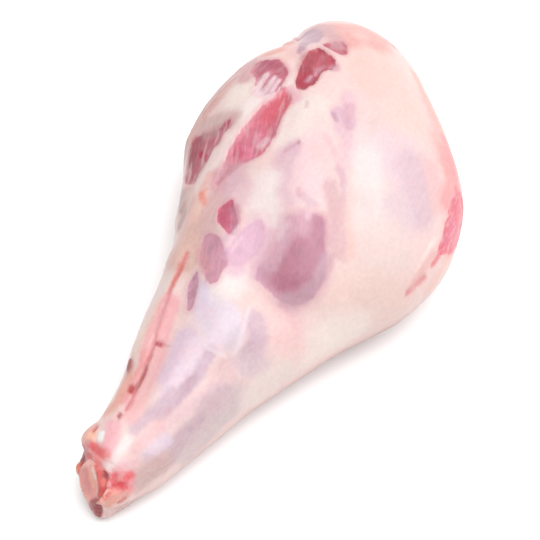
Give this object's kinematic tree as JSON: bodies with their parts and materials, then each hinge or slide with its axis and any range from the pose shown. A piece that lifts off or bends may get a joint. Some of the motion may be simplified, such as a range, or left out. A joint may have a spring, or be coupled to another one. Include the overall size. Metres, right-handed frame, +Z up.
{
  "type": "raw leg of lamb",
  "caption": "Raw bone-in leg of lamb, rounded thigh tapering to a sawn shank, lying on its side with the fat cover and open lean shown.",
  "frame": {"origin": "under the middle of the leg, on the surface that it lies on", "axes": "+X along the leg from the sawn shank to the rump, +Y towards the heel cord's side, +Z up"},
  "size_m": [0.372, 0.1825, 0.0948],
  "materials": {
    "meat": "moist raw meat, pale fat and silverskin over pink and red lean",
    "bone": "sawn bone, pink marrow in a cream rim"
  },
  "bodies": {
    "root": {"leg_meat": "meat", "shank_bone": "bone"}
  },
  "joints": []
}
